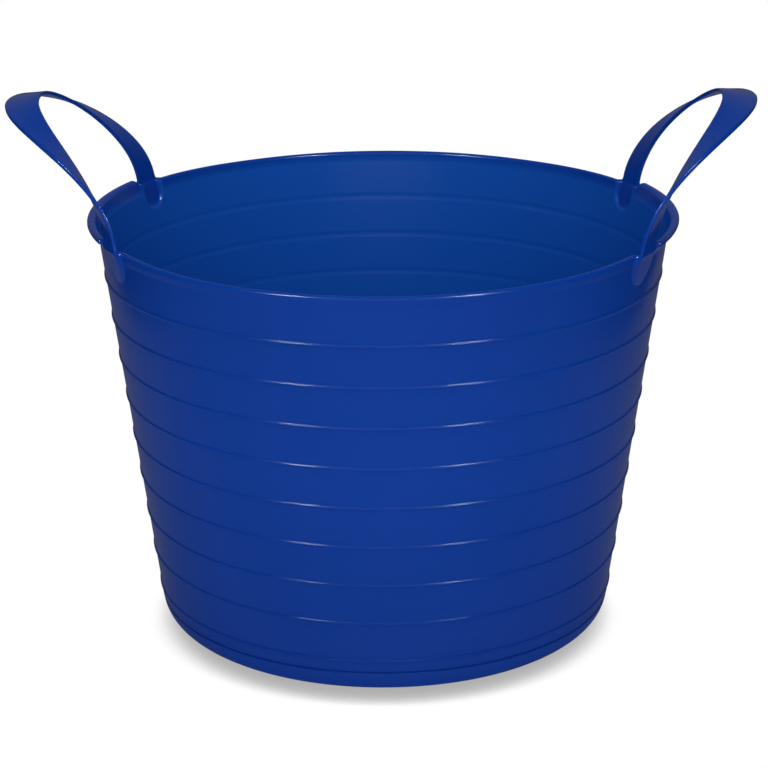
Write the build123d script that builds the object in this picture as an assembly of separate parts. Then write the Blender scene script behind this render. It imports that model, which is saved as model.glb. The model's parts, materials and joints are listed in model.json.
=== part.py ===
from build123d import *
import os
from math import cos, radians, sin, tan

# Flexible bucket: a tapered tub with hooped wall and two strap handles, moulded in one soft plastic.
# Millimetres, +Z up. The origin is the centre of the underside, and the handles stand on -X and +X.
# The moulding is cut into solids where its form changes and where the straps flex.

# Tub
rim_radius = 175.0        # outermost line of the rounded rim
rim_height = 256.0        # top of the rim above the ground
rim_width = 4.2           # across the rounded rim, from inside to outside
rim_depth = 6.0           # from the top of the rim down to the plain wall
wall_taper = 7.7          # lean of the wall from the vertical, in degrees
wall_thickness = 2.4
floor_thickness = 2.6
heel_height = 16.0        # crease between heel and wall, above the ground
heel_run = 16.7           # from the crease in to the flat underside

# Hoops round the wall, each with a shallow groove behind it on the inside
rib_count = 9
first_rib_drop = 30.0     # from the top of the rim down to the first hoop
last_rib_rise = 7.6       # from the crease up to the last hoop
rib_proud = 0.8
rib_width = 1.7
rib_seat_gap = 0.1        # keeps the round faces of hoop and wall from running into each other
groove_depth = 0.2
groove_width = 4.4

# Turned-out lips of the rim, between the legs of each handle
lip_reach = 5.0           # past the rim's outermost line
lip_rise = 2.5            # above the top of the rim
lip_thickness = 2.8

# Strap handles, along the middle of the strap's thickness
strap_thickness = 2.4
strap_root_width = 17.5
strap_grip_width = 21.3
root_angle = 28.0         # from the handle's middle round to each root, in degrees
root_standoff = 1.5       # strap middle outside the rim's outermost line, at rim level
leg_lean = 8.1            # lean of a leg along the rim as it leaves the root, in degrees
leg_stretch = 43.4        # rise over which a leg keeps that lean before it bends outward
grip_reach = 40.6         # middle of the grip outside the rim's outermost line
grip_rise = 74.1          # middle of the grip above the top of the rim
grip_stretch = 56.6       # run beside the grip's middle over which the strap stays square to it
grip_droop = 9.8          # fall of the grip's outer edge across its width, in degrees
twist_delay = 1.64        # above 1, a leg stays flat to the rim for longer before it twists to the grip
grip_length = 60.0        # stretch of the strap that the hand holds
leg_sections = 8          # sections shaped along each half of the strap

# Scooped roots, where the straps run down into the wall
scoop_depth = 18.5        # from the top of the rim down to the bottom of the scoop
web_thickness = 2.4       # side of the scoop, round its recess

# Flex line of each handle, parallel to Y across both legs
flex_rise = 20.0          # above the top of the rim
flex_radius = 5.0         # round end that a leg turns about
flex_gap = 0.3

wall_slope = tan(radians(wall_taper))


def wall_outside(height):
    """Radius of the wall's plain outer face at a height."""
    return rim_radius - rib_proud - (rim_height - height) * wall_slope


def wall_inside(height):
    """Radius of the wall's inner face at a height."""
    return wall_outside(height) - wall_thickness / cos(radians(wall_taper))


# Worked-out places
flat_radius = wall_outside(heel_height) - heel_run
rib_pitch = (rim_height - first_rib_drop - heel_height - last_rib_rise) / (rib_count - 1)
seat_height = rim_height - rim_depth
crown_height = rim_height - rim_width / 2
lip_top = rim_height + lip_rise
lip_radius = rim_radius + lip_reach
root_radius = rim_radius + root_standoff
scoop_bottom = rim_height - scoop_depth
scoop_width = strap_root_width + 2 * web_thickness
grip_x = rim_radius + grip_reach
grip_height = rim_height + grip_rise
flex_height = rim_height + flex_rise
reach_all = 2 * (grip_x + grip_height)   # larger than the object, for the cutting tools


def turned(*edges):
    """Closed outline of radius and height, turned about the bucket's axis."""
    section = Plane.XZ * make_face(list(edges))
    return revolve(section, Axis.Z)


def ring_of(*corners):
    """Ring with a straight-sided section, given as radius and height."""
    return turned(*Polyline(*corners, close=True).edges())


def bulge_on_wall(radius, height, rise, width):
    """Outline of a shallow bead on the sloping wall, standing out by its rise."""
    along = Vector(sin(radians(wall_taper)), cos(radians(wall_taper)))
    outward = Vector(cos(radians(wall_taper)), -sin(radians(wall_taper)))
    middle = Vector(radius, height)
    lower = middle - along * (width / 2)
    upper = middle + along * (width / 2)
    return Line(upper, lower), ThreePointArc(lower, middle + outward * rise, upper)


def rib_height(index):
    """Height of a hoop, counted from the top."""
    return rim_height - first_rib_drop - index * rib_pitch


def make_floor():
    """Flat bottom disc."""
    return Cylinder(flat_radius, floor_thickness, align=(Align.CENTER, Align.CENTER, Align.MIN))


def make_heel():
    """Rounded ring from the floor to the crease under the wall."""
    level = (1, 0)
    outside = TangentArc((flat_radius, 0), (wall_outside(heel_height), heel_height), tangent=level)
    inside = TangentArc((flat_radius, floor_thickness), (wall_inside(heel_height), heel_height), tangent=level)
    return turned(outside, Line(outside @ 1, inside @ 1), inside, Line(inside @ 0, outside @ 0))


def make_wall(scoops):
    """Tapered wall with its inside grooves, open where the scooped roots sit."""
    wall = ring_of(
        (wall_inside(heel_height), heel_height),
        (wall_outside(heel_height), heel_height),
        (wall_outside(seat_height), seat_height),
        (wall_inside(seat_height), seat_height),
    )
    for index in range(rib_count):
        height = rib_height(index)
        wall -= turned(*bulge_on_wall(wall_inside(height), height, groove_depth, groove_width))
    return wall - scoops


def make_rib(index):
    """One hoop, seated on the wall's outer face."""
    height = rib_height(index)
    seat = wall_outside(height) + rib_seat_gap
    return turned(*bulge_on_wall(seat, height, rib_proud - rib_seat_gap, rib_width))


def make_rim():
    """Rounded rim, seated on the top of the wall, all the way round."""
    outer = (rim_radius, crown_height)
    top = (rim_radius - rim_width / 2, rim_height)
    inner = (rim_radius - rim_width, crown_height)
    foot_in = (wall_inside(seat_height), seat_height)
    foot_out = (wall_outside(seat_height), seat_height)
    return turned(
        Line(foot_in, foot_out),
        Line(foot_out, outer),
        ThreePointArc(outer, top, inner),
        Line(inner, foot_in),
    )


def make_lip():
    """Turned-out lip, seated on the top of the wall, all the way round."""
    under = lip_top - lip_thickness
    edge = lip_radius - lip_thickness / 2
    foot_in = (wall_inside(seat_height), seat_height)
    foot_out = (wall_outside(seat_height), seat_height)
    bend = (wall_outside(under), under)
    inner = (wall_inside(under), under)
    shoulder = (wall_inside(under) + lip_thickness, lip_top)
    return turned(
        Line(foot_in, foot_out),
        Line(foot_out, bend),
        Line(bend, (edge, under)),
        ThreePointArc((edge, under), (lip_radius, lip_top - lip_thickness / 2), (edge, lip_top)),
        Line((edge, lip_top), shoulder),
        TangentArc(shoulder, inner, tangent=(-1, 0)),
        Line(inner, foot_in),
    )


def scoop_prism(width, bottom):
    """Radial prism with a round bottom, over the right back root and up past the rim."""
    radial = Vector(cos(radians(root_angle)), sin(radians(root_angle)), 0)
    along_rim = Vector(-radial.Y, radial.X, 0)
    face = Plane(origin=(0, 0, bottom + width / 2), x_dir=along_rim, z_dir=radial)
    upright = Pos(0, reach_all / 2) * Rectangle(width, reach_all)
    return extrude(face * (Circle(width / 2) + upright), reach_all)


def make_scoop():
    """Scoop of the right back root: a recess in the wall that leans out to meet the strap."""
    recess_bottom = scoop_bottom + web_thickness
    plate_in = root_radius - strap_thickness / 2
    plate_out = root_radius + strap_thickness / 2
    block = ring_of(
        (wall_inside(scoop_bottom), scoop_bottom),
        (wall_outside(scoop_bottom), scoop_bottom),
        (plate_out, rim_height),
        (wall_inside(rim_height), rim_height),
    )
    recess = ring_of(
        (wall_inside(scoop_bottom) - wall_thickness, recess_bottom),
        (wall_inside(recess_bottom), recess_bottom),
        (plate_in, rim_height),
        (wall_inside(scoop_bottom) - wall_thickness, rim_height),
    )
    inside = scoop_prism(strap_root_width, recess_bottom)
    return (block & scoop_prism(scoop_width, scoop_bottom)) - (recess & inside)


def leg_line():
    """Middle line of the right handle's strap, from its back root to the middle of the grip."""
    radial = Vector(cos(radians(root_angle)), sin(radians(root_angle)), 0)
    along_rim = Vector(radial.Y, -radial.X, 0)
    root = radial * root_radius + Vector(0, 0, rim_height)
    rise = Vector(0, 0, 1) + along_rim * tan(radians(leg_lean))
    grip = Vector(grip_x, 0, grip_height)
    return Bezier(root, root + rise * leg_stretch, grip + Vector(0, grip_stretch, 0), grip)


def strap_section(line, share, side):
    """Section across the strap at a share of the way from root to grip, on the back or front leg."""
    turn = radians((1 - share ** twist_delay) * (90 + root_angle))
    tilt = -radians(share * grip_droop)
    point = line @ share
    run = line % share
    across = Vector(cos(turn) * cos(tilt), side * sin(turn) * cos(tilt), sin(tilt))
    run = Vector(side * run.X, run.Y, side * run.Z)
    face_normal = run.cross(across)
    plane = Plane(
        origin=(point.X, side * point.Y, point.Z),
        x_dir=across,
        z_dir=across.cross(face_normal),
    )
    width = strap_root_width + share * (strap_grip_width - strap_root_width)
    return plane * Rectangle(width, strap_thickness)


def make_strap(line):
    """Whole right strap, from its back root over the grip to its front root."""
    shares = [index / leg_sections for index in range(leg_sections + 1)]
    back = [strap_section(line, share, 1) for share in shares]
    front = [strap_section(line, share, -1) for share in reversed(shares[:-1])]
    return loft(back + front)


def flex_point(line):
    """Point of the leg's middle line at the height of the flex line."""
    return line & Plane.XY.offset(flex_height)


def flex_rod(point, radius):
    """Rod along the flex line, through both legs of the right handle."""
    return Pos(point.X, 0, point.Z) * Rot(90, 0, 0) * Cylinder(radius, reach_all)


def above_flex(point, radius):
    """Space above the flex line, less a rod about it."""
    space = Pos(0, 0, point.Z) * Box(
        reach_all, reach_all, reach_all, align=(Align.CENTER, Align.CENTER, Align.MIN)
    )
    return space - flex_rod(point, radius)


def behind(distance):
    """Space further back than a distance from the handles' middle."""
    return Pos(0, distance, 0) * Box(
        reach_all, reach_all, reach_all, align=(Align.CENTER, Align.MIN, Align.CENTER)
    )


def four_ways(piece):
    """A right back piece and its mirrored copies, by the name of their place."""
    right_front = mirror(piece, about=Plane.XZ)
    return {
        "right_back": piece,
        "right_front": right_front,
        "left_back": mirror(piece, about=Plane.YZ),
        "left_front": mirror(right_front, about=Plane.YZ),
    }


def piece_towards(shape, direction):
    """The solid of a cut ring that lies furthest in a direction."""
    return max(shape.solids(), key=lambda solid: solid.center().dot(direction))


def make_nodes():
    """Every solid of the bucket, by the name of its node."""
    nodes = {}
    scoops = four_ways(scoop_prism(scoop_width, scoop_bottom)).values()
    rim = make_rim() - list(scoops)
    lip = make_lip() - list(scoops)

    nodes["floor"] = make_floor()
    nodes["heel"] = make_heel()
    nodes["wall"] = make_wall(list(scoops))
    for index in range(rib_count):
        nodes[f"rib_{index + 1}"] = make_rib(index)
    nodes["rim_front"] = piece_towards(rim, Vector(0, -1, 0))
    nodes["rim_back"] = piece_towards(rim, Vector(0, 1, 0))
    nodes["lip_left"] = piece_towards(lip, Vector(-1, 0, 0))
    nodes["lip_right"] = piece_towards(lip, Vector(1, 0, 0))

    line = leg_line()
    pivot = flex_point(line)
    strap = make_strap(line)
    stub = (strap - above_flex(pivot, flex_radius - flex_gap)) & behind(0)
    moving = strap & above_flex(pivot, flex_radius)
    leg = moving & behind(grip_length / 2)
    grip = moving - [behind(grip_length / 2), mirror(behind(grip_length / 2), about=Plane.XZ)]

    for place, root in four_ways(make_scoop() + stub).items():
        nodes[f"{place}_root"] = root
    for place, side_leg in four_ways(leg).items():
        nodes[f"{place}_leg"] = side_leg
    nodes["right_grip"] = grip
    nodes["left_grip"] = mirror(grip, about=Plane.YZ)
    print(f"flex line at x {pivot.X:.3f}, z {pivot.Z:.3f}")
    return nodes


os.makedirs("parts", exist_ok=True)
for name, shape in make_nodes().items():
    export_step(shape, f"parts/{name}.step")
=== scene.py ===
# %% [markdown]
# # Flexible bucket
# A soft bucket for feed, water or garden waste. The real one is a single shot of blue polyethylene: a
# tapered tub with nine thin hoops round it, a rounded rim, and two strap handles that flex. This lesson
# keeps it that way, with one seamless tub, and one strap for each handle that bends where the real one
# does.

import json
from math import atan2, cos, degrees, hypot, pi, radians, sin, tan

import bmesh
import bpy
from mathutils import Matrix, Vector
from mathutils.geometry import interpolate_bezier


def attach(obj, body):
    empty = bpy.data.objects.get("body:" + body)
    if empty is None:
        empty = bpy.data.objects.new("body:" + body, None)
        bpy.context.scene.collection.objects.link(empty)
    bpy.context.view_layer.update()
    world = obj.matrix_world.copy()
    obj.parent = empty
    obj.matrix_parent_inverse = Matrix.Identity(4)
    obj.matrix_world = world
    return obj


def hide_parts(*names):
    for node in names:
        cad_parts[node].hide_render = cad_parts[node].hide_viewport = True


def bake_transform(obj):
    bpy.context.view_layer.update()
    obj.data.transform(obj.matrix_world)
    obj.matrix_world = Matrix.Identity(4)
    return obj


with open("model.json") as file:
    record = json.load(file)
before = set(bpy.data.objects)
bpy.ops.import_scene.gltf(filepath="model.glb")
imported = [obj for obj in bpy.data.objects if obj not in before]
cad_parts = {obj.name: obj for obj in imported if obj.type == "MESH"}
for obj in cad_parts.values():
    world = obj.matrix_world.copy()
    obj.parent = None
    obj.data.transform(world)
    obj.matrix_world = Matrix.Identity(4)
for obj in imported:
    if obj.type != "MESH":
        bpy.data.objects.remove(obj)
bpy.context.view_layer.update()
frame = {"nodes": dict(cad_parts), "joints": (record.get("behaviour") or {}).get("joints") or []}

# %% [markdown]
# ## Sizes of the tub
# The tub is a body of revolution, so two short functions say nearly everything: how far out the wall's
# outer face is at a height, and how far out its inner face is. All sizes are in metres, written in
# millimetres.

# %% Sizes of the tub
MM = 0.001

rim_radius = 175.0 * MM
rim_height = 256.0 * MM
rim_width = 4.2 * MM
rim_depth = 6.0 * MM
wall_taper = radians(7.7)
wall_thickness = 2.4 * MM
floor_thickness = 2.6 * MM
heel_height = 16.0 * MM
heel_run = 16.7 * MM

rib_count = 9
first_rib_drop = 30.0 * MM
last_rib_rise = 7.6 * MM
rib_proud = 0.8 * MM
rib_width = 1.7 * MM
groove_depth = 0.2 * MM
groove_width = 4.4 * MM
crease_proud = 0.25 * MM
crease_width = 1.2 * MM


def wall_outside(height):
    """Radius of the wall's plain outer face at a height."""
    return rim_radius - rib_proud - (rim_height - height) * tan(wall_taper)


def wall_inside(height):
    """Radius of the wall's inner face at a height."""
    return wall_outside(height) - wall_thickness / cos(wall_taper)


flat_radius = wall_outside(heel_height) - heel_run
seat_height = rim_height - rim_depth
crown_height = rim_height - rim_width / 2
rib_pitch = (rim_height - first_rib_drop - heel_height - last_rib_rise) / (rib_count - 1)
rib_heights = [rim_height - first_rib_drop - index * rib_pitch for index in range(rib_count)]
print(f"rib pitch {rib_pitch / MM:.2f} mm, flat underside {2 * flat_radius / MM:.1f} mm across")

# %% [markdown]
# ## Outline of the tub
# A potter would hold one template against the turning clay, and the outline here is that template: out
# along the underside, round the heel, up the wall over the hoops, round the rim, and down the inside to
# the middle of the floor. A hoop is a shallow arc, and so is the fine ridge at the crease above the heel.
# A stop is set close above and below each of them, so that the arc's smooth shading doesn't spread over
# the plain wall.

# %% Outline of the tub
support = 0.7 * MM        # from a hoop's foot to the stop that keeps the wall beside it plain
scoop_row = 0.9 * MM      # between the stops in the band that the handle roots reach into
scoop_depth = 18.5 * MM
scoop_margin = 2.0 * MM   # how far that band goes on below the roots
floor_rings = 4
heel_steps = 12
inner_heel_steps = 10
crease_steps = 4
rib_steps = 6
rim_steps = 16


def heel_stops(start, end, steps):
    """Stops along an arc that leaves its start level and ends at its end."""
    sweep = 2 * atan2(end[1] - start[1], end[0] - start[0])
    bend = (end[0] - start[0]) / sin(sweep)
    angles = [sweep * step / steps for step in range(steps + 1)]
    return [(start[0] + bend * sin(angle), start[1] + bend * (1 - cos(angle))) for angle in angles]


def bead_stops(face, height, proud, width, steps):
    """Stops up over a bead on the sloping wall, with a stop close below and above it."""
    half = width / 2
    bend = (half**2 + proud**2) / (2 * proud)
    reach = 2 * atan2(proud, half)
    angles = [reach * (2 * step / steps - 1) for step in range(steps + 1)]
    places = [(bend * sin(angle), bend * cos(angle) - bend + proud) for angle in angles]
    places = [(-half - support, 0), *places, (half + support, 0)]
    return [
        (
            face(height) + along * sin(wall_taper) + out * cos(wall_taper),
            height + along * cos(wall_taper) - out * sin(wall_taper),
        )
        for along, out in places
    ]


def scoop_band(face):
    """Close stops up the wall, from below the handle roots to the foot of the rim."""
    rows = int((scoop_depth + scoop_margin - rim_depth) / scoop_row)
    heights = [seat_height - row * scoop_row for row in range(rows, 0, -1)]
    return [(face(height), height) for height in heights]


def rim_stops(steps):
    """Stops over the rounded rim, from its outer foot to its inner foot."""
    half = rim_width / 2
    middle = rim_radius - half
    angles = [pi * step / steps for step in range(steps + 1)]
    crown = [(middle + half * cos(angle), crown_height + half * sin(angle)) for angle in angles]
    outer_foot = (wall_outside(seat_height), seat_height)
    inner_foot = (wall_inside(seat_height), seat_height)
    return [outer_foot, *crown, inner_foot]


heel_top_outside = (wall_outside(heel_height), heel_height)
heel_top_inside = (wall_inside(heel_height), heel_height)
outside = heel_stops((flat_radius, 0), heel_top_outside, heel_steps)
inside = heel_stops((flat_radius, floor_thickness), heel_top_inside, inner_heel_steps)
outside += bead_stops(wall_outside, heel_height + crease_width, crease_proud, crease_width, crease_steps)
for height in reversed(rib_heights):
    outside += bead_stops(wall_outside, height, rib_proud, rib_width, rib_steps)
    inside += bead_stops(wall_inside, height, groove_depth, groove_width, rib_steps)
outside += scoop_band(wall_outside)
inside += scoop_band(wall_inside)
rim = rim_stops(rim_steps)
shares = [ring / floor_rings for ring in range(floor_rings)]
underside = [(flat_radius * share, 0) for share in shares]
floor_top = [(flat_radius * share, floor_thickness) for share in reversed(shares)]
outline = underside + outside + rim + inside[::-1] + floor_top
print(len(outline), "stops in the outline")

# %% [markdown]
# ## Lips and handle roots
# Two things break the round form. Between the legs of each handle the rim turns out into a lip. And where
# a strap leaves the wall, a tongue leans out of it: proud on the outside, a recess on the inside. Both
# could be cut and joined on with booleans, which leaves ragged edges. Moving the turned rings by angle
# and height keeps one clean skin. For that, each stop of the outline has to know its move to the lip, and
# where it lies in the thickness of the tongue.

# %% Moves to the lip and to the tongue
lip_reach = 5.0 * MM
lip_rise = 2.5 * MM
lip_thickness = 2.8 * MM
lip_flare = 2.5 * MM       # the wall leans out under the lip
strap_thickness = 2.4 * MM
root_standoff = 1.5 * MM
root_radius = rim_radius + root_standoff
tongue_step = 0.6 * MM    # how far the tongue stands off the wall at its round bottom
scoop_bottom = rim_height - scoop_depth
nose_steps = 8
bend_steps = 6


def walk(corners, share):
    """Point at a share of the way along a line of corners."""
    lengths = [(end - start).length for start, end in zip(corners, corners[1:])]
    left = share * sum(lengths)
    for start, end, length in zip(corners, corners[1:], lengths):
        if left <= length:
            return start.lerp(end, left / length)
        left -= length
    return corners[-1]


def lip_corners():
    """Outline of the turned-out lip, from its outer foot to its inner foot."""
    under = rim_height + lip_rise - lip_thickness
    edge = Vector((rim_radius + lip_reach - lip_thickness / 2, under + lip_thickness / 2))
    turns = [pi * (step / nose_steps - 0.5) for step in range(nose_steps + 1)]
    nose = [edge + lip_thickness / 2 * Vector((cos(turn), sin(turn))) for turn in turns]
    bend = Vector((wall_inside(under) + lip_flare + lip_thickness, under))
    turns = [pi / 2 * (1 + step / bend_steps) for step in range(bend_steps + 1)]
    shoulder = [bend + lip_thickness * Vector((cos(turn), sin(turn))) for turn in turns]
    hollow = Vector((wall_outside(under) + lip_flare + lip_thickness / 2, under - lip_thickness / 2))
    turns = [pi * (1 - step / (2 * bend_steps)) for step in range(bend_steps + 1)]
    armpit = [hollow + lip_thickness / 2 * Vector((cos(turn), sin(turn))) for turn in turns]
    foot_out = Vector((wall_outside(seat_height), seat_height))
    foot_in = Vector((wall_inside(seat_height), seat_height))
    return [foot_out, *armpit, *nose, *shoulder, foot_in]


def section_at(height):
    """Middle radius and half thickness of the turned wall or rim at a height."""
    share = min(max((height - seat_height) / (crown_height - seat_height), 0), 1)
    wall_middle = (wall_outside(min(height, seat_height)) + wall_inside(min(height, seat_height))) / 2
    wall_half = wall_thickness / cos(wall_taper) / 2
    rim_middle = rim_radius - rim_width / 2
    return wall_middle + share * (rim_middle - wall_middle), wall_half + share * (rim_width / 2 - wall_half)


def tongue_middle(height):
    """Middle radius of the tongue at a height."""
    start = section_at(scoop_bottom)[0] + tongue_step
    return start + (root_radius - start) * (height - scoop_bottom) / scoop_depth


rim_lengths = [0]
for start, end in zip(rim, rim[1:]):
    rim_lengths.append(rim_lengths[-1] + hypot(end[0] - start[0], end[1] - start[1]))
lip_stops = [walk(lip_corners(), length / rim_lengths[-1]) for length in rim_lengths]
lip_moves = {stop: target - Vector(stop) for stop, target in zip(rim, lip_stops)}
lip_edge = max(stop.x for stop in lip_stops)
lip_top = max(stop.y for stop in lip_stops)
print(f"lip reaches {lip_edge / MM:.1f} mm out, {lip_top / MM:.1f} mm up")

# %% [markdown]
# ## Turn the tub
# The outline is turned once round the axis, as on a potter's wheel. Most of the turn takes coarse steps.
# Where the four tongues will come, the steps are fine, so that the edges of the tongues can be round. A
# fine mesh all round would do as well, but it would waste most of its faces. Each stop takes its move to
# the lip and its place in the tongue along with it, as layers of the mesh.

# %% Turn the tub
fine_start, fine_end = 22.5, 33.0  # degrees from a handle's middle
fine_step = 0.33
plain_step = 1.5
weld = 0.001 * MM
fine_sectors = [
    (fine_start, fine_end),
    (180 - fine_end, 180 - fine_start),
    (180 + fine_start, 180 + fine_end),
    (360 - fine_end, 360 - fine_start),
]

tub_mesh = bmesh.new()
lip_move = tub_mesh.verts.layers.float_vector.new("lip_move")
tongue_side = tub_mesh.verts.layers.float.new("tongue_side")
stops = []
for radius, height in outline:
    stop = tub_mesh.verts.new((radius, 0, height))
    move = lip_moves.get((radius, height), Vector((0, 0)))
    stop[lip_move] = (move.x, 0, move.y)
    middle, half = section_at(height)
    stop[tongue_side] = min(max((radius - middle) / half, -1), 1)
    stops.append(stop)
turning = stops + [tub_mesh.edges.new(pair) for pair in zip(stops, stops[1:])]

turned = 0.0
for start, end in fine_sectors + [(360.0, 360.0)]:
    for angle, step in ((start - turned, plain_step), (end - start, fine_step)):
        if angle > 0:
            spun = bmesh.ops.spin(
                tub_mesh, geom=turning, cent=(0, 0, 0), axis=(0, 0, 1),
                angle=radians(angle), steps=round(angle / step),
            )
            turning = spun["geom_last"]
    turned = end
bmesh.ops.remove_doubles(tub_mesh, verts=tub_mesh.verts[:], dist=weld)
bmesh.ops.recalc_face_normals(tub_mesh, faces=tub_mesh.faces[:])
triangles = sum(len(face.verts) - 2 for face in tub_mesh.faces)
print(len(tub_mesh.verts), "vertices,", triangles, "triangles in the tub")

# %% [markdown]
# ## Shape the lips, the tongues and the rim
# Now each vertex near the rim moves to its place: out to the lip between the legs, out to the tongue at a
# root, and a little up near the handles, where the rim of the real bucket climbs too. Each move fades out
# over a short stretch, so that the lips and tongues grow out of the wall without a seam.

# %% Shape the lips, the tongues and the rim
root_angle = radians(28.0)
strap_root_width = 17.5 * MM
web_thickness = 2.4 * MM
soft_edge = 0.7 * MM               # half the width of the rounded step round a tongue
lip_end = radians(24.4)
lip_fade = radians(0.9)
rim_lift = 1.2 * MM                # the rim climbs a little towards the handles
lift_start = radians(62.0)


def smooth_step(low, high, value):
    """Zero below low, one above high, and a smooth climb between them."""
    share = min(max((value - low) / (high - low), 0.0), 1.0)
    return share * share * (3 - 2 * share)


def tongue_share(along, height, outward):
    """One inside a tongue, zero outside it. The recess inside is narrower than the tongue outside."""
    web = web_thickness * (1 + outward) / 2
    half = strap_root_width / 2 + web
    middle = scoop_bottom + web_thickness + strap_root_width / 2
    distance = abs(along) if height > middle else hypot(along, height - middle)
    return 1 - smooth_step(half - soft_edge, half + soft_edge, distance)


for vert in tub_mesh.verts:
    radius, height = vert.co.to_2d().length, vert.co.z
    if height < scoop_bottom - scoop_margin:
        continue
    azimuth = atan2(vert.co.y, vert.co.x)
    from_handle = abs(azimuth) if abs(azimuth) < pi / 2 else pi - abs(azimuth)
    lip_share = 1 - smooth_step(lip_end - lip_fade, lip_end, from_handle)
    new_radius = radius + lip_share * vert[lip_move].x
    new_height = height + lip_share * vert[lip_move].z
    target = tongue_middle(height) + vert[tongue_side] * strap_thickness / 2
    share = tongue_share((from_handle - root_angle) * rim_radius, height, vert[tongue_side])
    new_radius += share * (target - new_radius)
    new_height += share * (height - new_height)
    lift = 1 - smooth_step(root_angle, lift_start, from_handle)
    new_height += rim_lift * lift * max(height - scoop_bottom, 0) / scoop_depth
    vert.co = (new_radius * cos(azimuth), new_radius * sin(azimuth), new_height)


def piece_from(mesh_data, name):
    """Object made of a finished mesh, smooth-shaded, in the frame's own place."""
    mesh = bpy.data.meshes.new(name)
    mesh_data.to_mesh(mesh)
    mesh_data.free()
    mesh.shade_smooth()
    piece = bpy.data.objects.new(name, mesh)
    bpy.context.scene.collection.objects.link(piece)
    return piece


tub = piece_from(tub_mesh, "tub_shell")
print("tub", [round(side, 4) for side in tub.dimensions])

# %% [markdown]
# ## Straps
# Each handle is one flat strap. It leaves the rim in line with the wall, leans out, and twists until the
# hand's stretch lies flat. A rounded section pushed along that path, station by station, makes it, as a
# die draws out a band. Its lower ends run on down inside the tongues, so no seam shows at the rim.

# %% Path of a strap
strap_grip_width = 21.3 * MM
leg_lean = radians(8.1)
leg_stretch = 43.4 * MM
grip_stretch = 56.6 * MM
grip_droop = radians(9.8)
twist_delay = 1.64
grip_reach = 40.6 * MM
grip_rise = 74.1 * MM
grip = Vector((rim_radius + grip_reach, 0, rim_height + grip_rise))
strap_steps = 44                   # stations along each half of a strap
path_steps = 400
tail_depth = 5.0 * MM
tail_thickness = 1.7 * MM
fillet = 3.0 * MM                  # height over which a leg widens into the rim
fillet_reach = 1.3 * MM

radial = Vector((cos(root_angle), sin(root_angle), 0))
along_rim = Vector((radial.y, -radial.x, 0))
root = radial * root_radius + Vector((0, 0, rim_height))
root_pull = root + (Vector((0, 0, 1)) + along_rim * tan(leg_lean)) * leg_stretch
path = interpolate_bezier(root, root_pull, grip + Vector((0, grip_stretch, 0)), grip, path_steps)
path_lengths = [0]
for start, end in zip(path, path[1:]):
    path_lengths.append(path_lengths[-1] + (end - start).length)


def station(share):
    """Place, direction across and scale of the strap's section, at a share of the way from root to grip."""
    place = walk(path, share)
    step = 0.5 / path_steps
    run = (walk(path, min(share + step, 1)) - walk(path, max(share - step, 0))).normalized()
    turn = (1 - share**twist_delay) * (pi / 2 + root_angle)
    tilt = -share * grip_droop
    across = Vector((cos(turn) * cos(tilt), sin(turn) * cos(tilt), sin(tilt)))
    width = strap_root_width + share * (strap_grip_width - strap_root_width)
    width += 2 * fillet_reach * max(1 - (place.z - rim_height) / fillet, 0) ** 2
    return section_matrix(place, run, across, width, strap_thickness)


def section_matrix(place, run, across, width, thickness):
    """Matrix that puts a section of unit width and thickness in its place on the strap."""
    face = run.cross(across).normalized()
    end = across.cross(face)
    turn = Matrix((across, face, end)).transposed().to_4x4()
    return Matrix.Translation(place) @ turn @ Matrix.Diagonal((width, thickness, 1, 1))


def tail_station():
    """Section inside the tongue, where the strap's end is hidden."""
    height = rim_height - tail_depth
    place = radial * tongue_middle(height) + Vector((0, 0, height))
    across = Vector((-radial.y, radial.x, 0))
    return section_matrix(place, (root - place).normalized(), across, strap_root_width, tail_thickness)


mirror_front = Matrix.Diagonal((1, -1, 1, 1))
mirror_section = Matrix.Diagonal((1, 1, -1, 1))
half_strap = [tail_station()] + [station(step / strap_steps) for step in range(strap_steps + 1)]
stations = half_strap + [mirror_front @ matrix @ mirror_section for matrix in half_strap[-2::-1]]
print(f"strap {2 * path_lengths[-1] / MM:.0f} mm long in {len(stations)} stations")

# %% [markdown]
# ## Draw out both straps
# The section is a flat strip with rounded corners. It is extruded from station to station. A curve with a
# bevel would be shorter to write, but it wouldn't give the twist and the widening foot. Both straps are
# drawn alike and then settle a little differently, as soft straps do. The left one is mirrored to its own
# side.

# %% Draw out both straps
strap_edge = 0.28                  # rounding of the strap's edges, as a share of its thickness
edge_steps = 3
width_cells = 8
flex_start = rim_height + 4 * MM
flex_end = rim_height + 36 * MM
rest_lean = {"left": -1.9, "right": 1.9}      # degrees inward: soft straps never stand quite alike
rest_spread = {"left": -0.02, "right": 0.02}  # share by which the legs bow apart


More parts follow.
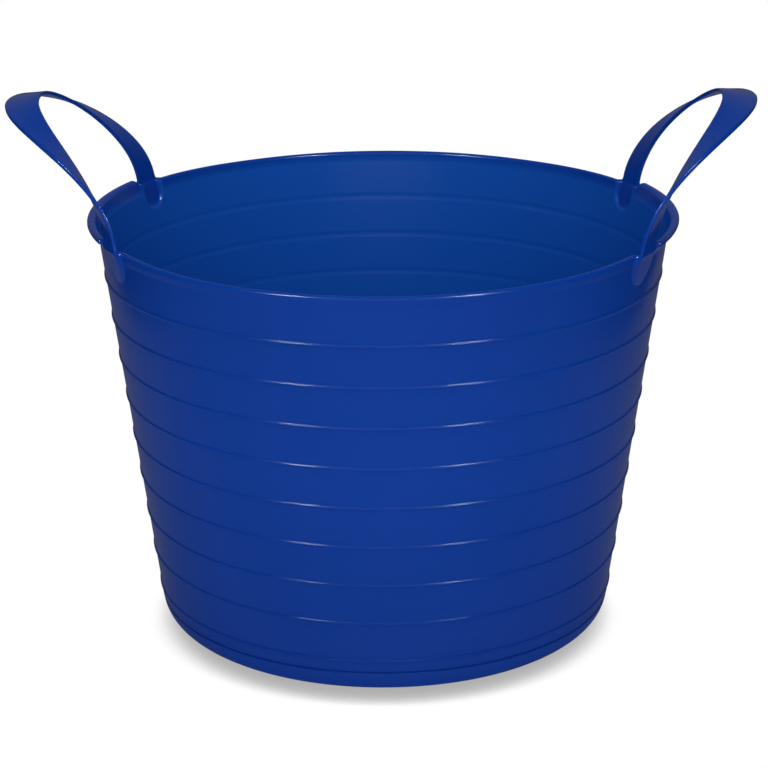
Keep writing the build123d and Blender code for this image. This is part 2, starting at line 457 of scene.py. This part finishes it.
def drawn_strap():
    """Closed band of the right handle, drawn through all its stations."""
    band = bmesh.new()
    bmesh.ops.create_grid(band, x_segments=width_cells, y_segments=1, size=0.5)
    shape = Matrix.Diagonal((strap_root_width, strap_thickness, 1, 1))
    bmesh.ops.transform(band, matrix=shape, verts=band.verts[:])
    corners = sorted(band.verts, key=lambda vert: -vert.co.length)[:4]
    bmesh.ops.bevel(
        band, geom=corners, offset=strap_edge * strap_thickness, offset_type="OFFSET", segments=edge_steps,
        profile=0.5, affect="VERTICES", material=-1,
    )
    bmesh.ops.transform(band, matrix=stations[0] @ shape.inverted(), verts=band.verts[:])
    end_faces = band.faces[:]
    for index, (before, after) in enumerate(zip(stations, stations[1:])):
        drawn = bmesh.ops.extrude_face_region(band, geom=end_faces)["geom"]
        # The faces drawn from are inside the band now, so they go. Only the first ones stay, as its end.
        if index:
            bmesh.ops.delete(band, geom=end_faces, context="FACES")
        end_faces = [item for item in drawn if isinstance(item, bmesh.types.BMFace)]
        end_verts = [item for item in drawn if isinstance(item, bmesh.types.BMVert)]
        bmesh.ops.transform(band, matrix=after @ before.inverted(), verts=end_verts)
    bmesh.ops.recalc_face_normals(band, faces=band.faces[:])
    return band


def settle(band, side, pivot):
    """Leans the strap a little about its flex line, and bows its legs, as it stands in the photograph."""
    lean = radians(rest_lean[side])
    for vert in band.verts:
        share = smooth_step(flex_start, flex_end, vert.co.z)
        turn = Matrix.Rotation(-lean * share, 3, "Y")
        from_pivot = turn @ (vert.co - pivot)
        bow = sin(pi * min(max((vert.co.z - rim_height) / (grip.z - rim_height), 0), 1))
        vert.co = pivot + from_pivot
        vert.co.y *= 1 + rest_spread[side] * bow


straps = {}
for joint in frame["joints"]:
    side = joint["child"].split("_")[0]
    band = drawn_strap()
    pivot = Vector((abs(joint["pos_m"][0]), 0, joint["pos_m"][2]))
    settle(band, side, pivot)
    if side == "left":
        bmesh.ops.scale(band, vec=(-1, 1, 1), verts=band.verts[:])
        bmesh.ops.reverse_faces(band, faces=band.faces[:])
    straps[side] = piece_from(band, f"{side}_strap")
    sizes = [round(size, 4) for size in straps[side].dimensions]
    print(side, "strap", len(straps[side].data.polygons), "faces,", sizes)

# %% [markdown]
# ## Shader arithmetic
# Node trees read badly as code, so one small class wraps a socket. Sums and products of wrapped sockets
# add Math nodes, and one method adds any other node.

# %% Shader arithmetic
class Shade:
    """One socket of a node tree, with arithmetic that adds Math nodes."""

    def __init__(self, tree, socket=None):
        self.tree = tree
        self.socket = socket

    def node(self, kind, settings, values, output=None):
        """Adds a node: its settings are set first, then the values or links of its sockets."""
        made = self.tree.nodes.new(kind)
        for name, value in settings.items():
            setattr(made, name, value)
        for name, value in values.items():
            open_sockets = [item for item in made.inputs if item.enabled]
            socket = next(item for item in open_sockets if name in (item.identifier, item.name))
            if isinstance(value, Shade):
                self.tree.links.new(value.socket, socket)
            else:
                socket.default_value = value
        outputs = [item for item in made.outputs if item.enabled and output in (None, item.name)]
        return Shade(self.tree, outputs[0] if outputs else None)

    def math(self, operation, first, second):
        return self.node("ShaderNodeMath", {"operation": operation}, {"Value": first, "Value_001": second})

    def __add__(self, other):
        return self.math("ADD", self, other)

    __radd__ = __add__

    def __sub__(self, other):
        return self.math("SUBTRACT", self, other)

    def __rsub__(self, other):
        return self.math("SUBTRACT", other, self)

    def __mul__(self, other):
        return self.math("MULTIPLY", self, other)

    __rmul__ = __mul__

    def at_most(self, other):
        return self.math("MINIMUM", self, other)

    def at_least(self, other):
        return self.math("MAXIMUM", self, other)


def blank_tree(owner):
    """Empty node tree of a material or world, ready for its first node."""
    owner.use_nodes = True
    owner.node_tree.nodes.clear()
    return Shade(owner.node_tree)


def grey_noise(tree, place, scale, detail, roughness=0.5):
    """Even noise between about zero and one, with its size given by a scale per metre."""
    values = {"Vector": place, "Scale": scale, "Detail": detail, "Roughness": roughness}
    return tree.node("ShaderNodeTexNoise", {}, values, "Fac")


def ramp(tree, value, low, high):
    """Zero below low, one above high."""
    values = {"Value": value, "From Min": low, "From Max": high}
    return tree.node("ShaderNodeMapRange", {"clamp": True}, values)


def mixed(tree, share, first, second):
    """Colour between two others."""
    settings = {"data_type": "RGBA"}
    values = {"Factor_Float": share, "A_Color": first, "B_Color": second}
    return tree.node("ShaderNodeMix", settings, values)


# %% [markdown]
# ## Marks in the plastic
# Moulded soft polyethylene looks even, but seen close it isn't: the colour drifts a little, the skin has
# a faint orange peel and slow ripples, and the gloss is streaked along the flow of the melt. A painted
# texture could show all that. Noise does it without a picture, and stays sharp at any distance.

# %% Marks in the plastic
flow_density = 0.12                # of the flow marks up the wall, as a share of that round it
scratch_low, scratch_high = 0.62, 0.74
patch_low, patch_high = 0.48, 0.66

plastic = bpy.data.materials.new("blue_plastic")
tree = blank_tree(plastic)
place = tree.node("ShaderNodeTexCoord", {}, {}, "Object")
flow_place = tree.node("ShaderNodeMapping", {}, {"Vector": place, "Scale": (1.0, 1.0, flow_density)})
height = tree.node("ShaderNodeSeparateXYZ", {}, {"Vector": place}, "Z")

drift = grey_noise(tree, place, scale=14.0, detail=3.0)
flow = grey_noise(tree, flow_place, scale=70.0, detail=4.0)
peel = grey_noise(tree, place, scale=900.0, detail=2.0)
ripple = grey_noise(tree, place, scale=45.0, detail=1.0)
fine_lines = grey_noise(tree, flow_place, scale=420.0, detail=6.0, roughness=0.7)
scratches = ramp(tree, fine_lines, scratch_low, scratch_high)
patches = ramp(tree, grey_noise(tree, place, scale=26.0, detail=3.0), patch_low, patch_high)
print("marks:", len(plastic.node_tree.nodes), "nodes")

# %% [markdown]
# ## Inside and scuffs
# The inside of the bucket is painted lighter and a little greener than the outside: painted light that
# stands in for light coming through the thin wall. A second material could be given to its faces, but
# then the colour would change at a hard edge. Here a mask tells the two faces apart: it measures how far
# a point lies from the line that the heel's turn is centred on, carried up along the wall. Scuffs gather
# where a bucket is dragged and knocked, at the heel and at the rim.

# %% Inside and scuffs
skin_blend = 0.5 * MM              # half the width of the change from the outer colour to the inner one
scuffed_low, scuffed_high = 1 * MM, 15 * MM  # between these heights the scuffs of the heel fade out
plain_scuffs = 0.10
ground_scuffs = 0.6
rim_scuffs = 0.4

flat_values = {"Vector": place, "Vector_001": (1, 1, 0)}
flat_place = tree.node("ShaderNodeVectorMath", {"operation": "MULTIPLY"}, flat_values)
from_axis = tree.node("ShaderNodeVectorMath", {"operation": "LENGTH"}, {"Vector": flat_place}, "Value")
above_heel = (height - heel_run).at_least(0.0)
outward = (from_axis - flat_radius - above_heel * tan(wall_taper)).at_least(0.0)
downward = (heel_run - height).at_least(0.0)
from_turn = tree.node("ShaderNodeCombineXYZ", {}, {"X": outward, "Y": downward})
from_turn = tree.node("ShaderNodeVectorMath", {"operation": "LENGTH"}, {"Vector": from_turn}, "Value")
# mask of the inner faces, which get the painted light
painted_inside_light = ramp(tree, heel_run - floor_thickness / 2 - from_turn, -skin_blend, skin_blend)
painted_inside_light = painted_inside_light * (1 - ramp(tree, height, seat_height, rim_height))

near_ground = 1 - ramp(tree, height, scuffed_low, scuffed_high)
near_rim = ramp(tree, height, seat_height, rim_height)
scuffs = scratches * patches * (plain_scuffs + near_ground * ground_scuffs + near_rim * rim_scuffs)
print("marks and masks:", len(plastic.node_tree.nodes), "nodes")

# %% [markdown]
# ## Blue plastic
# The finish is a deep blue with a satin gloss. Towards the base the blue is painted darker, as painted
# shade for the lower wall. Colour, roughness and bump each take a quiet share of the marks. One plain blue
# would be simpler, but it would look too clean for a real moulding.

# %% Blue plastic
# painted shade: the blue at the base is darker than the blue above, standing in for less light low down
painted_shade_blue = (0.0010, 0.0235, 0.1920, 1)
bright_blue = (0.0016, 0.0390, 0.2950, 1)
scuff_blue = (0.0200, 0.0800, 0.3300, 1)
# painted light: the inside is lighter and greener, standing in for light through the thin wall
painted_inside_light_blue = (0.0055, 0.0720, 0.3900, 1)
# below this height the blue is darkened by painted shade
painted_shade_top = 150 * MM           # from here up the blue deepens no more
drift_share = 0.25
scuff_share = 0.35
plain_roughness = 0.13
flow_roughness = 0.06              # this and the next two are the most that is added to it
drift_roughness = 0.04
scuff_roughness = 0.20
relief_depth = 0.6 * MM
peel_relief = 0.05                 # this and the next two are shares of that depth
ripple_relief = 0.5
scuff_relief = 0.05

# painted shade: the colour goes from the darker blue at the base to the brighter blue above
painted_shade_fade = ramp(tree, height, 0.0, painted_shade_top)
colour = mixed(tree, painted_shade_fade * (1 - drift_share) + drift * drift_share, painted_shade_blue, bright_blue)
# painted light on the inner faces
colour = mixed(tree, painted_inside_light, colour, painted_inside_light_blue)
colour = mixed(tree, scuffs * scuff_share, colour, scuff_blue)
gloss = plain_roughness + flow * flow_roughness + drift * drift_roughness + scuffs * scuff_roughness
relief = peel * peel_relief + ripple * ripple_relief - scuffs * scuff_relief
bump = tree.node("ShaderNodeBump", {}, {"Strength": 0.12, "Distance": relief_depth, "Height": relief})
surface = tree.node(
    "ShaderNodeBsdfPrincipled", {},
    {"Base Color": colour, "Roughness": gloss, "Normal": bump, "IOR": 1.5},
)
tree.node("ShaderNodeOutputMaterial", {}, {"Surface": surface})
print("blue plastic:", len(plastic.node_tree.nodes), "nodes")

# %% [markdown]
# ## Dress the frame
# The tub rides on the tub's body and stands for all its solids. Each strap takes the place of its
# handle's legs and grip, which are hidden.

# %% Dress the frame
for piece in (tub, *straps.values()):
    piece.data.materials.append(plastic)

handle_ends = ("_leg", "_grip")
tub_nodes = [name for name in frame["nodes"] if not name.endswith(handle_ends)]
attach(tub, "tub")
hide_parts(*tub_nodes)
for joint in frame["joints"]:
    side = joint["child"].split("_")[0]
    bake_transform(straps[side])
    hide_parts(f"{side}_front_leg", f"{side}_back_leg", f"{side}_grip")
print(len(tub_nodes), "solids stand behind the tub")

# %% [markdown]
# ## Backdrop
# The photograph has a white ground. The camera sees the backdrop as plain white, but the plastic mirrors
# it only faintly in the photograph. One white world would show up in the plastic as a haze. So rays from
# the camera get white, mirrored rays get a small share of it from behind the bucket, and a little light
# comes from all round.

# %% Backdrop
white = (1, 1, 1, 1)
backdrop_share = 0.12              # of white, as the plastic mirrors the backdrop
behind_start, behind_end = 0.35, 0.85  # the backdrop fades in as a ray points this far to the back
ambient = 0.20


def seen_directly(tree, mirrored):
    """One for rays that look straight at a surface, and a share for mirrored rays."""
    camera = tree.node("ShaderNodeLightPath", {}, {}, "Is Camera Ray")
    through = tree.node("ShaderNodeLightPath", {}, {}, "Is Transmission Ray")
    glossy = tree.node("ShaderNodeLightPath", {}, {}, "Is Glossy Ray")
    return (camera + through + glossy * mirrored).at_most(1.0)


world = bpy.data.worlds.new("studio")
bpy.context.scene.world = world
tree = blank_tree(world)
direction = tree.node("ShaderNodeTexCoord", {}, {}, "Generated")
toward_back = tree.node("ShaderNodeSeparateXYZ", {}, {"Vector": direction}, "Y")
behind = ramp(tree, toward_back, behind_start, behind_end)
diffuse = tree.node("ShaderNodeLightPath", {}, {}, "Is Diffuse Ray")
strength = seen_directly(tree, behind * backdrop_share) + diffuse * ambient
backdrop = tree.node("ShaderNodeBackground", {}, {"Color": white, "Strength": strength})
tree.node("ShaderNodeOutputWorld", {}, {"Surface": backdrop})
print("backdrop:", len(world.node_tree.nodes), "nodes")

# %% [markdown]
# ## Floor
# The bucket stands on a roll of white paper, and the ground is shaded only where the bucket nearly
# touches it. A lit floor would turn white only under lamps too strong for the bucket. This one is white
# by itself, and its shade is worked out from how much of the space close by is open, looking up and to
# the back, with a thin darker line right at the heel. The plastic mirrors the paper faintly too, more of
# it behind the bucket than in front.

# %% Floor
near_paper_share = 0.012           # of white, as the plastic mirrors the paper in front of the bucket
far_paper_share = 0.10             # and behind it
paper_near, paper_far = -0.25, 0.05  # between these depths one share turns into the other
paper_shift = 0.02                 # how far the roll lies to the left
paper_half = 0.53                  # half the width of the roll
paper_fade = 0.02
floor_radius = 6.0
contact_reach = 21 * MM            # how near the bucket has to be to shade the floor
contact_line = 10 * MM             # the same, for the thin line at the heel
contact_shade = 0.50               # of white, where the floor is shaded most
shade_back, shade_up = 0.88, 0.47  # direction in which the floor looks for the bucket
shade_start, shade_end = 0.30, 0.84  # open share where the shade is full, and where it is gone
line_share = 0.18                  # how much the line at the heel takes away
shade_samples = 12


def open_share(tree, values):
    """Share of the space nearby that is open, seen from the floor."""
    return tree.node("ShaderNodeAmbientOcclusion", {"samples": shade_samples}, values, "AO")


floor_mesh = bmesh.new()
bmesh.ops.create_circle(floor_mesh, cap_ends=True, radius=floor_radius, segments=96)
floor = piece_from(floor_mesh, "studio_floor")
floor_paint = bpy.data.materials.new("studio_floor")
tree = blank_tree(floor_paint)
place = tree.node("ShaderNodeTexCoord", {}, {}, "Object")
across = tree.node("ShaderNodeSeparateXYZ", {}, {"Vector": place}, "X")
depth = tree.node("ShaderNodeSeparateXYZ", {}, {"Vector": place}, "Y")
from_middle = tree.node("ShaderNodeMath", {"operation": "ABSOLUTE"}, {"Value": across + paper_shift})
further = ramp(tree, depth, paper_near, paper_far)
paper_share = near_paper_share + (far_paper_share - near_paper_share) * further
mirrored_paper = paper_share * (1 - ramp(tree, from_middle, paper_half, paper_half + paper_fade))

backward = tree.node("ShaderNodeCombineXYZ", {}, {"X": 0.0, "Y": shade_back, "Z": shade_up})
contact = open_share(tree, {"Distance": contact_line})
open_sky = open_share(tree, {"Distance": contact_reach, "Normal": backward})
shading = tree.node(
    "ShaderNodeMapRange", {"interpolation_type": "SMOOTHSTEP"},
    {"Value": open_sky, "From Min": shade_start, "From Max": shade_end, "To Min": contact_shade},
)
shading = shading * (contact * line_share + (1 - line_share))
brightness = seen_directly(tree, mirrored_paper) * shading
paint = tree.node("ShaderNodeEmission", {}, {"Color": white, "Strength": brightness})
tree.node("ShaderNodeOutputMaterial", {}, {"Surface": paint})
floor.data.materials.append(floor_paint)
print("floor", [round(side, 1) for side in floor.dimensions])

# %% [markdown]
# ## Streaks of light
# Two softboxes show up in the photograph as short streaks on the hoops, slightly blue. Each lamp here
# gives either mirrored streaks or plain light, because then one can be changed without the other. A lamp
# is placed by its direction from the middle of the bucket, which is easier to think of than its
# coordinates.

# %% Streaks of light
aim_height = rim_height / 2
streak_azimuths = {"left": -38, "right": 39}
streak_elevation = 42
streak_distance = 1.9
streak_width, streak_height = 0.33, 0.15
streak_watts = 12.5
streak_colour = (0.74, 0.92, 1.0)
plain_colour = (1, 1, 1)


def lamp_at(name, location, facing, width, height, watts, mirrored=False):
    """Area light, seen either as a mirrored streak or as plain light without one."""
    data = bpy.data.lights.new(name, "AREA")
    data.shape = "RECTANGLE"
    data.size = width
    data.size_y = height
    data.energy = watts
    data.color = streak_colour if mirrored else plain_colour
    lamp = bpy.data.objects.new(name, data)
    bpy.context.scene.collection.objects.link(lamp)
    lamp.location = location
    lamp.rotation_euler = (-facing).to_track_quat("Z", "Y").to_euler()
    lamp.visible_camera = False
    lamp.visible_glossy = mirrored
    lamp.visible_diffuse = not mirrored


def softbox(name, azimuth, elevation, distance, width, height, watts, mirrored=False):
    """Area light that faces the middle of the bucket, placed by its direction from there in degrees."""
    level = cos(radians(elevation))
    away = Vector((sin(radians(azimuth)) * level, -cos(radians(azimuth)) * level, sin(radians(elevation))))
    target = Vector((0, 0, aim_height))
    lamp_at(name, target + away * distance, -away, width, height, watts, mirrored)


for side, azimuth in streak_azimuths.items():
    softbox(
        f"{side}_streak", azimuth, streak_elevation, streak_distance, streak_width, streak_height,
        streak_watts, mirrored=True,
    )
print(len(bpy.data.lights), "lamps for the streaks")

# %% [markdown]
# ## Black cards
# In the photograph the streaks fade out on the lower hoops. A photographer would hold a black card
# between the lamp and the bucket, and so does this: one upright card for each streak, which the camera
# doesn't see.

# %% Black cards
card_azimuths = {"left": -39, "right": 40}
card_width, card_height = 0.20, 0.30
card_distance = 0.5                # from the bucket's axis
card_middle = 0.30                 # height of the card's middle


def black_card(name, azimuth):
    """Upright card that keeps a streak's softbox off the lower hoops."""
    card_mesh = bmesh.new()
    bmesh.ops.create_grid(card_mesh, x_segments=1, y_segments=1, size=0.5)
    turn = Matrix.Rotation(radians(azimuth), 4, "Z") @ Matrix.Translation((0, -card_distance, card_middle))
    shape = Matrix.Rotation(pi / 2, 4, "X") @ Matrix.Diagonal((card_width, card_height, 1, 1))
    bmesh.ops.transform(card_mesh, matrix=turn @ shape, verts=card_mesh.verts[:])
    card = piece_from(card_mesh, name)
    card_paint = bpy.data.materials.new(name)
    tree = blank_tree(card_paint)
    black = tree.node("ShaderNodeBsdfDiffuse", {}, {"Color": (0, 0, 0, 1)})
    tree.node("ShaderNodeOutputMaterial", {}, {"Surface": black})
    card.data.materials.append(card_paint)
    card.visible_camera = False
    card.visible_diffuse = False


for side, azimuth in card_azimuths.items():
    black_card(f"{side}_black_card", azimuth)
print(len(card_azimuths), "black cards")

# %% [markdown]
# ## Plain light
# Soft light falls on the bucket from the front, from above and from behind, and some comes back up from
# the paper. The floor here is white by itself and lights nothing, so a wide lamp close above it stands in
# for that.

# %% Plain light
view_azimuth = 2.2                 # degrees: the bucket stands turned by this much in the photograph
bounce_place = Vector((-paper_shift, -0.15, 2 * MM))
bounce_width, bounce_depth = 1.6, 1.7
bounce_watts = 9.4

softbox("front_light", view_azimuth, elevation=20, distance=1.6, width=1.2, height=0.9, watts=11)
softbox("overhead_light", view_azimuth, elevation=65, distance=2.0, width=1.2, height=1.2, watts=20)
softbox("back_light", view_azimuth + 180, elevation=30, distance=1.8, width=1.2, height=0.9, watts=11)
lamp_at("paper_bounce", bounce_place, Vector((0, 0, 1)), bounce_width, bounce_depth, bounce_watts)
print(len(bpy.data.lights), "lamps in all")

# %% [markdown]
# ## Camera
# The camera stands about where it did for the photograph. Its place and lens were fitted to the rim, the
# hoops, the heel and the handles there: a long lens, well above the rim, looking down into the bucket.

# %% Camera
camera_turn = radians(view_azimuth)
camera_distance = 1.4824
camera_height = 0.6462
camera_pitch = radians(18.595)
camera_roll = radians(-0.3)
image_side = 768
focal_pixels = 2500

camera_data = bpy.data.cameras.new("photo_camera")
camera_data.sensor_width = 36.0
camera_data.lens = focal_pixels / image_side * camera_data.sensor_width
camera = bpy.data.objects.new("photo_camera", camera_data)
bpy.context.scene.collection.objects.link(camera)
camera.location = (sin(camera_turn) * camera_distance, -cos(camera_turn) * camera_distance, camera_height)
heading = Matrix.Rotation(camera_turn, 3, "Z")
nod = Matrix.Rotation(pi / 2 - camera_pitch, 3, "X")
roll = Matrix.Rotation(camera_roll, 3, "Z")
camera.rotation_euler = (heading @ nod @ roll).to_euler()
bpy.context.scene.camera = camera
bpy.context.scene.view_settings.view_transform = "Standard"
print(f"camera pitched {degrees(camera_pitch):.1f} degrees down, lens {camera_data.lens:.1f} mm")
